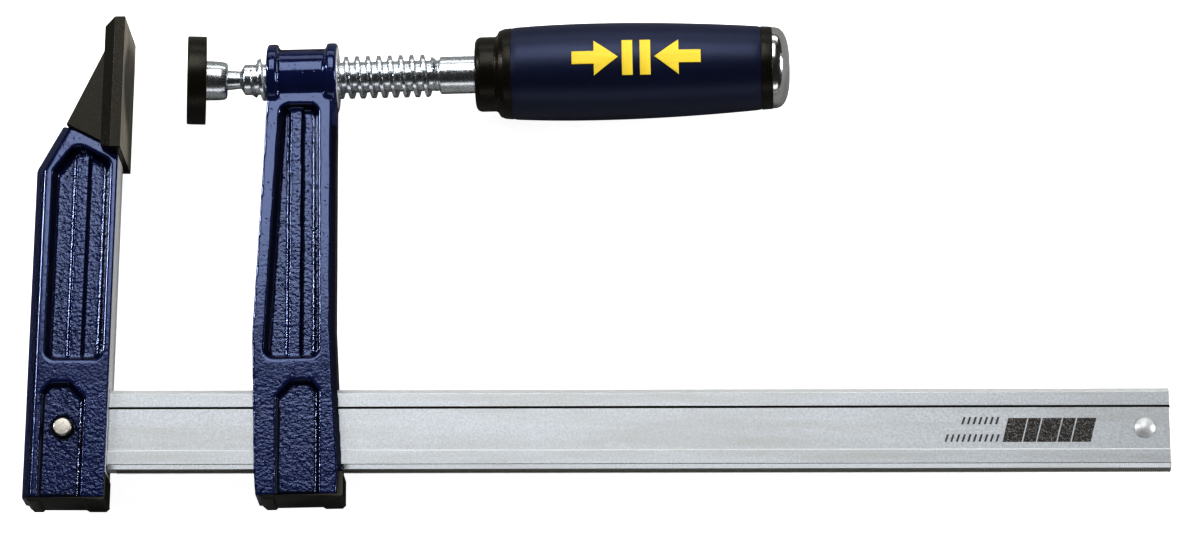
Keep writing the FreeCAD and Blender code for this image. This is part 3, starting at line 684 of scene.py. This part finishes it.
def wall_shade_mask(mesh, points, normals, face_height):
    """Up to 1 on the walls of pockets and ribs, which get painted shade; widest in low pockets."""
    margin = side_margin(points)
    low = points[:, 1] < ROUGH_BELOW + 4 * MM
    on_rib = (margin > 8 * MM) & ~low
    steep = np.clip((np.where(on_rib, 0.74, 0.90) - np.abs(normals[:, 2])) / 0.22, 0, 1)
    sunk = np.clip((face_height - 0.1 * MM - np.abs(points[:, 2])) / (0.3 * MM), 0, 1)
    inside = np.clip((margin - 1.2 * MM) / (0.6 * MM), 0, 1)
    room = sunk * inside * ~on_rib
    wall = spread(mesh, 0.97 * steep * sunk * inside, room, 1)
    return spread(mesh, wall, room * low, 2)


def paint_faces(mesh, machined, shaded):
    """Bare steel on machined faces, near-black painted shade on shaded ones, gloss paint elsewhere."""
    for name in ("blue_paint", "bare_steel", "painted_shade_enamel"):
        mesh.materials.append(MATERIALS[name])
    corners = np.empty(len(mesh.loops), np.int32)
    mesh.loops.foreach_get("vertex_index", corners)
    corners = corners.reshape(-1, 4)
    bare = machined[corners].all(axis=1)
    thick = shaded[corners].sum(axis=1) > 2
    mesh.polygons.foreach_set("material_index", np.where(bare, 1, np.where(thick, 2, 0)).astype(np.int32))
    mesh.shade_smooth()


def fixed_arm_machined(points, normals):
    """The ground inner side, where the work and the bar meet the arm."""
    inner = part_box("fixed_arm")[1][0]
    on_face = (points[:, 0] > inner - 0.35 * MM) & (normals[:, 0] > 0.8)
    return on_face & (np.abs(points[:, 2]) < ARM_HALF - 0.7 * MM)


def sliding_arm_machined(points, normals):
    """The faced ends of the threaded boss, and its bore."""
    direction = np.array(SPINDLE_AXIS.along)
    offset = points - np.array(SPINDLE_AXIS.origin)
    radius = np.linalg.norm(offset - (offset @ direction)[:, None] * direction, axis=1)
    faced = (radius < 11.6 * MM) & (np.abs(normals @ direction) > 0.8)
    bore = radius < 8.3 * MM
    return faced | bore


# ---------------------------------------------------------------- bar
BAR_LOW, BAR_HIGH = (Vector(corner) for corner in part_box("bar"))
BAR_MIDDLE = (BAR_LOW.y + BAR_HIGH.y) / 2
HALF_HEIGHT = (BAR_HIGH.y - BAR_LOW.y) / 2
HALF_THICK = BAR_HIGH.z
CHAMFER = 1.9 * MM
WEB_HALF = 7.6 * MM
WEB_STEP = 0.6 * MM
TOOTH_PITCH = 0.75 * MM
TOOTH_DEPTH = 0.5 * MM
TOOTH_ROOM = 0.5 * MM       # strip of the lower chamfers that the teeth cut into


def bar_section():
    """Outline across the bar, as (height above its middle, Z): chamfered, with sunk webs."""
    side = HALF_THICK - CHAMFER
    web = HALF_THICK - WEB_STEP
    corners = [
        (-HALF_HEIGHT, side, 0.2), (-HALF_HEIGHT + TOOTH_ROOM, side + TOOTH_ROOM, 0),
        (-HALF_HEIGHT + CHAMFER, HALF_THICK, 0.3), (-WEB_HALF - WEB_STEP, HALF_THICK, 0.12),
        (-WEB_HALF, web, 0.12), (WEB_HALF, web, 0.12), (WEB_HALF + WEB_STEP, HALF_THICK, 0.12),
        (HALF_HEIGHT - CHAMFER, HALF_THICK, 0.3), (HALF_HEIGHT, side, 0.2)]
    corners += [(y, -z, rounding) for y, z, rounding in reversed(corners)]
    section = []
    count = len(corners)
    for i, (y, z, rounding) in enumerate(corners):
        if not rounding:
            section.append((y, z))
            continue
        before = corners[i - 1][:2]
        after = corners[(i + 1) % count][:2]
        section += arc_corner(before, (y, z), after, rounding * MM, 3)
    return section


def bar_stations():
    """Places along the bar, as (x, how much the section shrinks, how deep the teeth are)."""
    teeth_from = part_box("fixed_arm")[1][0] + 3 * MM
    bevel = 0.3 * MM
    shrink = 0.35 * MM
    quarter = TOOTH_PITCH / 4
    stations = [(BAR_LOW.x, shrink, 0.0), (BAR_LOW.x + bevel, 0.0, 0.0)]
    for i in range(int((BAR_HIGH.x - bevel - teeth_from) / quarter)):
        stations.append((teeth_from + i * quarter, 0.0, TOOTH_DEPTH * abs(i % 4 - 2) / 2))
    return stations + [(BAR_HIGH.x - bevel, 0.0, 0.0), (BAR_HIGH.x, shrink, 0.0)]


def build_bar():
    """Rolled bar: its section swept along X, with teeth cut into the lower edge."""
    section = bar_section()
    bm = bmesh.new()
    rings = []
    for x, shrink, cut in bar_stations():
        ring = []
        for y, z in section:
            height = math.copysign(max(abs(y) - shrink, 0), y)
            if y < -HALF_HEIGHT + 0.8 * TOOTH_ROOM:
                full = (HALF_THICK - CHAMFER + TOOTH_ROOM - abs(z)) / TOOTH_ROOM
                height += cut * min(1.0, max(0.0, full))
            ring.append(bm.verts.new((x, BAR_MIDDLE + height, math.copysign(max(abs(z) - shrink, 0), z))))
        rings.append(ring)
    for first, second in zip(rings, rings[1:]):
        for i in range(len(section)):
            j = (i + 1) % len(section)
            bm.faces.new((first[i], first[j], second[j], second[i]))
    bm.faces.new(rings[0])
    bm.faces.new(list(reversed(rings[-1])))
    mesh = mesh_from(bm, "bar_rolled")
    piece = shade(add_object("bar_rolled", mesh), 35.0)
    names = ("zinc_bar", "zinc_cut", "bar_step_shade", "zinc_drawn", "tooth_flank_shade")
    for name in names:
        mesh.materials.append(MATERIALS[name])
    for face in mesh.polygons:
        face.material_index = names.index(bar_face_material(face))
        face.use_smooth = not bar_face_is_flat(face)
    stand_for(piece, "bar")


def bar_face_material(face):
    """Name of the material for one face of the bar."""
    near_web = abs(face.center.y - BAR_MIDDLE) < WEB_HALF + 1.2 * WEB_STEP
    among_teeth = (face.center.y < BAR_MIDDLE - HALF_HEIGHT + 0.6 * MM
                   and abs(face.center.z) < HALF_THICK - CHAMFER + 0.15 * MM)
    if abs(face.normal.z) > 0.9:
        return "zinc_bar"
    # The steps' walls that face -Y get painted shade.
    if near_web and face.normal.y < 0:
        return "bar_step_shade"
    # Tooth flanks that face +X get painted shade.
    if among_teeth and face.normal.x > 0.1:
        return "tooth_flank_shade"
    if face.normal.y < -0.3 and not among_teeth:
        return "zinc_drawn"
    return "zinc_cut"


def bar_face_is_flat(face):
    """True for square faces, 45 degree faces and the bar's ends, and not for its roundings."""
    square = max(abs(c) for c in face.normal) > 0.995
    half = math.sqrt(0.5)
    slope = all(abs(abs(c) - half) < 0.06 for c in face.normal.yz)
    return square or slope or face.area > 20 * MM * MM


def flat_marks(name, outlines, material):
    """Thin prisms that stand just proud of the bar's web, one for each outline of (x, y)."""
    top = HALF_THICK - WEB_STEP + 0.03 * MM
    thick = 0.2 * MM
    bm = bmesh.new()
    for outline in outlines:
        lower = [bm.verts.new((x, y, top - thick)) for x, y in outline]
        upper = [bm.verts.new((x, y, top)) for x, y in outline]
        bm.faces.new(upper)
        bm.faces.new(list(reversed(lower)))
        count = len(outline)
        for i in range(count):
            j = (i + 1) % count
            bm.faces.new((lower[i], lower[j], upper[j], upper[i]))
    mesh = mesh_from(bm, name)
    mesh.materials.append(MATERIALS[material])
    piece = add_object(name, mesh)
    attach(piece, BODY_OF["bar"])


def slanted(left, right, low, high, lean):
    """Outline of an upright block whose top stands further right than its foot, by lean."""
    low += BAR_MIDDLE
    high += BAR_MIDDLE
    return [(left, low), (right, low), (right + lean, high), (left + lean, high)]


def build_bar_etching():
    """Generic marks near the stop rivet: five slanted blocks and two rows of slanted ticks."""
    stop_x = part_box("bar_stop_rivet")[0][0]
    shares = (6, 4, 6, 4, 6)
    gap = 0.5 * MM
    lean = 2.2 * MM
    unit = (33.4 * MM - lean - gap * (len(shares) - 1)) / sum(shares)
    blocks = []
    right = stop_x - 13.2 * MM - lean
    for share in shares:
        left = right - share * unit
        blocks.append(slanted(left, right, -5.2 * MM, 3.6 * MM, lean))
        right = left - gap
    flat_marks("bar_etched_blocks", blocks, "etched")
    ticks = []
    for low, high, count in ((1.3, 4.0, 7), (-5.1, -2.4, 10)):
        for i in range(count):
            right = stop_x - 48.4 * MM - i * 2.0 * MM
            ticks.append(slanted(right - 0.75 * MM, right, low * MM, high * MM, 0.9 * MM))
    flat_marks("bar_etched_ticks", ticks, "etched_line")


def rivet_profile(half_length, head_r, shank_r, head_start, dome):
    """Both heads and the shank of a rivet, from one tip to the other, with bevelled rims."""
    rim = 0.45 * MM
    steps = 8
    points = []
    for i in range(steps + 1):
        share = i / steps
        points.append((half_length - dome * share * share, (head_r - rim) * share))
    points.append((half_length - dome - 0.08 * MM, head_r - 0.6 * rim))
    points.append((half_length - dome - rim, head_r))
    points.append((head_start, head_r))
    points.append((head_start, shank_r))
    return points + [(-a, r) for a, r in reversed(points)]


def build_rivets():
    """The domed stop rivet and the nearly flat rivet through the fixed arm."""
    # Node, shank radius, height at which the heads start and rise of their domes in mm, material.
    stop_rivet = ("bar_stop_rivet", 2.5, 3.4, 1.3, "zinc_cut")
    arm_rivet = ("fixed_arm_rivet", 3.34, 5.8, 0.06, "rivet_steel")
    for node, shank_r, head_start, dome, material in (stop_rivet, arm_rivet):
        low, high = (Vector(corner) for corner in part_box(node))
        head_r = (high.x - low.x) / 2
        points = rivet_profile(high.z, head_r, shank_r * MM, head_start * MM, dome * MM)
        axis = Axis((low + high) / 2, (0, 0, 1))
        rivet = shade(turned(node + "_formed", axis, points, 64), 18.0)
        stand_for(rivet, node, MATERIALS[material])


# ---------------------------------------------------------------- spindle
def thread_shape(axis, node, crest_r, pitch):
    """Hand, phase and ends of the CAD thread, so that the fine mesh follows it."""
    along, radius, angle = axis.read(node)
    crest = radius > crest_r - 0.03 * MM
    turns = along[crest] / pitch * 2 * math.pi
    best = max((1, -1), key=lambda hand: abs(np.exp(1j * (turns - hand * angle[crest])).mean()))
    phase = np.angle(np.exp(1j * (turns - best * angle[crest])).mean())
    return best, phase, along[crest].min(), along[crest].max()


def build_spindle():
    """Ball, neck, trapezoidal thread, plain shank and the tang inside the handle."""
    axis = SPINDLE_AXIS
    crest_r, root_r, pitch = 7.8 * MM, 5.6 * MM, 4.0 * MM
    hand, phase, thread_from, thread_to = thread_shape(axis, "spindle", crest_r, pitch)
    collar_from = axis.span("handle_core")[0]
    tang_to = axis.span("spindle")[1]
    ball_r, neck_r, shank_r = 5.0 * MM, 3.2 * MM, 6.85 * MM
    tang_r, bolt_r = 4.95 * MM, 3.95 * MM
    neck_to = 10.4 * MM
    ball_step = math.radians(10)
    profile = [(-ball_r * math.cos(i * ball_step), ball_r * math.sin(i * ball_step)) for i in range(14)]
    profile += rounded([
        (3.9 * MM, neck_r, 0), (neck_to, neck_r, 0.5 * MM), (neck_to + 1.5 * MM, root_r, 0.6 * MM),
        (neck_to + 2.4 * MM, root_r, 0)])[1:]
    ridge_from = neck_to + 3.0 * MM
    step = 0.14 * MM
    rows = int((thread_to + 0.6 * MM - ridge_from) / step)
    profile += [(ridge_from + i * step, root_r) for i in range(rows + 1)]
    shank_from = thread_to + 1.2 * MM
    shank_to = collar_from + 2 * MM
    nut_from = tang_to - 10.4 * MM
    profile += rounded([
        (profile[-1][0] + step, root_r, 0), (shank_from, root_r, 0.3 * MM),
        (shank_from + 0.7 * MM, shank_r, 0.3 * MM), (shank_to, shank_r, 0.3 * MM),
        (shank_to, tang_r, 0.1 * MM), (nut_from, tang_r, 0.1 * MM), (nut_from, bolt_r, 0.1 * MM),
        (tang_to - 0.7 * MM, bolt_r, 0.1 * MM), (tang_to, 3.2 * MM, 0.1 * MM), (tang_to, 0, 0)])[1:]

    def ridge(along, angle, radius):
        """Radius of the thread there: a rounded ridge that runs out at both ends."""
        if not ridge_from <= along <= thread_to + 0.65 * MM or abs(radius - root_r) > 1e-9:
            return radius
        turn = (along / pitch * 2 * math.pi - hand * angle - phase) / (2 * math.pi)
        off = abs(turn - round(turn)) * pitch
        rise = min(1.0, max(0.0, (1.22 * MM - off) / (0.66 * MM)))
        fade = min(1.0, max(0.0, (along - thread_from + 1.8 * MM) / (3.2 * MM)))
        fade *= min(1.0, max(0.0, (thread_to + 0.7 * MM - along) / (3.4 * MM)))
        return root_r + (crest_r - root_r) * rise * rise * (3 - 2 * rise) * fade

    stand_for(turned("spindle_screw", axis, profile, 112, ridge), "spindle")


# ---------------------------------------------------------------- handle
def in_metres(corners):
    """The same (along, radius, rounding) corners, from millimetres."""
    return [(along * MM, radius * MM, rounding * MM) for along, radius, rounding in corners]


def build_handle():
    """Collar and sleeve, barrel grip, rear ring, bright cap and the raised sign."""
    axis = SPINDLE_AXIS
    collar_from, _, _ = axis.span("handle_core")
    grip_from, grip_to, grip_r = axis.span("handle_grip")
    ring_from, ring_to, ring_r = axis.span("handle_rear_ring")

    start, front, rear = collar_from / MM, grip_from / MM, grip_to / MM
    core = [
        (start, 7.2, 0), (start, 13.66, 2.3), (start + 7.3, 13.66, 0.9), (start + 8.0, 14.1, 0.5),
        (start + 8.9, 15.7, 0.9), (start + 10.6, 16.4, 1.6), (front - 0.05, 16.72, 0.12),
        (front - 0.05, 12.0, 0.1), (rear - 0.1, 12.0, 0.2), (rear - 0.1, 9.6, 0.2), (rear - 10.7, 9.6, 0.2),
        (rear - 10.7, 7.2, 0.1)]
    stand_for(turned("handle_core_moulded", axis, rounded(in_metres(core))), "handle_core")

    # The barrel's radius in mm at shares of the grip's length, joined by one smooth curve.
    belly = [(0.0, 16.78), (0.153, 17.43), (0.34, 17.78), (0.57, 17.38), (0.79, 16.58), (1.0, 15.28)]
    curve = np.polyfit([share for share, _ in belly], [radius for _, radius in belly], 4)
    shares = np.linspace(0, 1, 64)
    radii = [min(np.polyval(curve, share) * MM, grip_r) for share in shares]
    grip = [(grip_from + share * (grip_to - grip_from), radius) for share, radius in zip(shares, radii)]
    grip[0] = (grip_from, radii[0] - 0.25 * MM)
    grip[-1] = (grip_to, radii[-1] - 0.2 * MM)
    grip += [(grip_to, 12.1 * MM), (grip_from, 12.1 * MM)]
    stand_for(turned("handle_grip_moulded", axis, grip, 128), "handle_grip")

    front, rear, rim = ring_from / MM, ring_to / MM, ring_r / MM
    ring = [
        (front, 12.0, 0), (front, rim, 0.25), (rear, rim - 0.25, 0.4), (rear, 13.3, 0.1),
        (rear - 2.0, 13.3, 0.1), (rear - 2.0, 9.8, 0.1), (front, 9.8, 0.1)]
    stand_for(turned("handle_rear_ring_moulded", axis, rounded(in_metres(ring))), "handle_rear_ring")

    build_end_cap(axis, ring_to)
    stand_for(softened("handle_marks", 0.12, 2, 40.0), "handle_marks")


def build_end_cap(axis, ring_to):
    """Thin domed cap, with a skirt that sits in the rear ring."""
    _, cap_to, cap_r = axis.span("handle_end_cap")
    start = ring_to + 0.05 * MM
    length = cap_to - start
    wall = 1.2 * MM
    inner_r = 12.1 * MM
    skirt_from, skirt_r = ring_to - 1.9 * MM, 13.25 * MM
    dome = [(skirt_from, inner_r), (skirt_from, skirt_r), (start, skirt_r)]
    dome += dome_curve(start, length, cap_r - 0.02 * MM)
    dome += [(start + length, 0.0), (start + length - wall, 0.0)]
    dome += reversed(dome_curve(start + 0.4 * MM, length - 0.4 * MM - wall, inner_r))
    stand_for(turned("handle_end_cap_drawn", axis, dome, 128), "handle_end_cap")


def dome_curve(start, depth, radius):
    """Quarter of a full, squarish oval from the rim towards the axis, without its last point."""
    steps = 26
    fullness = 2 / 2.7
    angles = [math.pi / 2 * i / steps for i in range(steps)]
    return [(start + depth * math.sin(a) ** fullness, radius * math.cos(a) ** fullness) for a in angles]


# ---------------------------------------------------------------- swivel pad
def build_pad():
    """The plastic pad and the steel pressure plate that it is snapped on."""
    pad_r = PAD_AXIS.span("pad_cap")[2] / MM
    cap = [
        (0, 0, 0), (0, pad_r, 0.5), (6.9, pad_r, 0.4), (6.9, 13.2, 0.2), (5.95, 13.2, 0.05),
        (5.95, 14.45, 0.05), (2.55, 14.45, 0.05), (2.55, 0, 0)]
    stand_for(turned("pad_cap_moulded", PAD_AXIS, rounded(in_metres(cap)), 128), "pad_cap")
    plate = [
        (2.6, 0, 0), (2.6, 14.4, 0.2), (5.9, 14.4, 0.3), (5.9, 7.3, 0.5), (12.2, 7.1, 0.3),
        (14.3, 6.75, 1.8), (15.1, 5.3, 0.5), (9.4, 5.3, 0.5), (6.3, 4.9, 1.5), (3.45, 1.5, 1.0), (3.45, 0, 0)]
    stand_for(turned("pressure_plate_turned", PAD_AXIS, rounded(in_metres(plate))), "pressure_plate")


def build_jaw_cap():
    """The fixed jaw's plastic cap, greyed where it clamps by rubbing and by pale grey that is painted light
    on that face.
    """
    cap = softened("fixed_jaw_cap", 0.25, 3, 8.0)
    cap.data.materials.append(MATERIALS["black_plastic"])
    cap.data.materials.append(MATERIALS["rubbed_and_lit_plastic"])
    face_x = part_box("fixed_jaw_cap")[1][0]
    for face in cap.data.polygons:
        if face.area > 8 * MM * MM:
            face.use_smooth = False
        if face.normal.x > 0.9 and face.center.x > face_x - 0.6 * MM:
            face.material_index = 1
    stand_for(cap, "fixed_jaw_cap")


def finish_hidden_nodes():
    """Carried-over CAD nodes inside the clamp: a fitting material on each."""
    for node in ("brake_pin", "ball_seat", "pad_snap_ring", "tang_washer", "tang_nut"):
        data = frame["nodes"][node].data
        data.materials.clear()
        data.materials.append(MATERIALS[SLOT_OF[node]])


# ---------------------------------------------------------------- stage
def build_floor():
    """Plain floor, half a millimetre under the clamp's lowest point."""
    bpy.ops.mesh.primitive_grid_add(x_subdivisions=8, y_subdivisions=8, size=3.0,
                                    location=(0.17, -0.07, cad_bounds[0][2] - 0.5 * MM))
    floor = bpy.context.object
    floor.name = "floor"
    floor.data.materials.append(floor_material())


def build_world():
    """Faint light from all round, which the camera itself sees as a pale backdrop."""
    world = bpy.data.worlds.new("studio")
    bpy.context.scene.world = world
    world.use_nodes = True
    tree = world.node_tree
    background = tree.nodes["Background"]
    background.inputs["Color"].default_value = (1.0, 0.99, 0.97, 1.0)
    strength = tree.nodes.new("ShaderNodeMapRange")
    strength.inputs["To Min"].default_value = 0.03
    strength.inputs["To Max"].default_value = BACKDROP_GLOW
    seen = tree.nodes.new("ShaderNodeLightPath").outputs["Is Camera Ray"]
    tree.links.new(seen, strength.inputs["Value"])
    tree.links.new(strength.outputs["Result"], background.inputs["Strength"])


def softbox(name, at, wide, high, watts, aim=(0.15, -0.05, 0.0)):
    """Rectangular soft light at one point, turned towards another."""
    light = bpy.data.lights.new(name, "AREA")
    light.shape = "RECTANGLE"
    light.size = wide
    light.size_y = high
    light.energy = watts
    made = add_object(name, light)
    made.location = at
    made.rotation_euler = (Vector(aim) - Vector(at)).to_track_quat("-Z", "Y").to_euler()


def build_lights():
    """One large light over the jaws, a narrow strip on the left, and cards round the clamp."""
    softbox("overhead", (0.06, 1.11, 1.75), 0.96, 1.3, 19.0, aim=(0.06, -0.05, 0.0))
    softbox("left_strip", (-1.35, 0.60, 1.2), 0.06, 1.2, 18.0)
    softbox("right_card", (1.9, 0.1, 0.45), 0.5, 0.3, 18.0)
    softbox("back_card", (0.15, 2.0, 0.6), 2.2, 0.6, 7.5)
    softbox("front_card", (0.15, -2.1, 0.5), 2.4, 0.5, 5.5)


def build_camera():
    """Long lens from the bar's side, above the clamp's face."""
    data = bpy.data.cameras.new("camera")
    data.sensor_width = 36.0
    data.lens = 141.19
    data.clip_end = 20.0
    made = add_object("camera", data)
    turn = (Matrix.Rotation(math.radians(18.178), 3, "X") @ Matrix.Rotation(math.radians(1.961), 3, "Y")
            @ Matrix.Rotation(math.radians(-0.191), 3, "Z"))
    made.matrix_world = Matrix.Translation((0.23182, -0.60310, 1.61298)) @ turn.to_4x4()
    bpy.context.scene.camera = made
    view = bpy.context.scene.view_settings
    view.view_transform = "Standard"
    view.gamma = 0.8


def main():
    """Camera and stage first, then the clamp, piece by piece."""
    build_camera()
    build_floor()
    build_world()
    build_lights()
    cast_arm("fixed_arm", fixed_arm_machined)
    cast_arm("sliding_arm", sliding_arm_machined)
    build_bar()
    build_bar_etching()
    build_rivets()
    build_spindle()
    build_handle()
    build_pad()
    build_jaw_cap()
    for foot in ("fixed_arm_foot", "sliding_arm_foot"):
        stand_for(softened(foot, 0.25), foot, MATERIALS["foot_plastic"])
    finish_hidden_nodes()


main()
